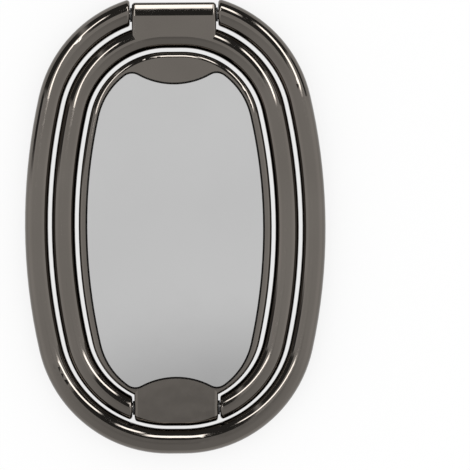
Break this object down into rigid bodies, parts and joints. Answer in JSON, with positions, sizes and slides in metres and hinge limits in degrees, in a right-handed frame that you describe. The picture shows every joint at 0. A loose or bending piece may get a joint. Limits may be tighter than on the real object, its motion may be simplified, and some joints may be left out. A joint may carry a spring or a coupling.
{
  "type": "phone ring holder",
  "caption": "Folding oval phone ring holder: nested split rings of polished black metal, hinged head and foot round a mirrored plate that swivels on a bonded back disc.",
  "frame": {"origin": "on the bond face of the back disc, at the swivel axis", "axes": "+Z away from the phone, +Y from the lower hinge to the upper hinge along the oval's length, +X across it"},
  "size_m": [0.0432, 0.0651, 0.0043],
  "materials": {
    "polished_black_metal": "polished black nickel plate on cast zinc alloy",
    "mirror_sheet": "polished mirror",
    "adhesive_tape": "matte black",
    "bright_steel": "satin",
    "nylon": "matte black",
    "disc_steel": "satin"
  },
  "bodies": {
    "back_disc": {"swivel_disc": "disc_steel", "swivel_rivet": "bright_steel"},
    "plate": {"base_plate": "polished_black_metal", "mirror_panel": "mirror_sheet", "mirror_tape": "adhesive_tape", "lower_hinge_sleeve": "nylon", "swivel_washer": "nylon", "spring_washer": "bright_steel"},
    "inner_loop": {"middle_ring": "polished_black_metal", "lower_hinge_pin": "polished_black_metal", "upper_hinge_sleeve": "nylon"},
    "outer_loop": {"outer_ring": "polished_black_metal", "upper_hinge_pin": "polished_black_metal"}
  },
  "joints": [
    {"name": "plate_swivel", "type": "hinge", "parent": "back_disc", "child": "plate", "pos_m": [0, 0, 0.001], "axis": [0, 0, 1], "continuous": true},
    {"name": "middle_ring_fold", "type": "hinge", "parent": "plate", "child": "inner_loop", "pos_m": [0, -0.026, 0.0027], "axis": [1, 0, 0], "range_deg": [0, 110]},
    {"name": "outer_ring_fold", "type": "hinge", "parent": "inner_loop", "child": "outer_loop", "pos_m": [0, 0.03037, 0.0027], "axis": [-1, 0, 0], "range_deg": [0, 180]}
  ]
}
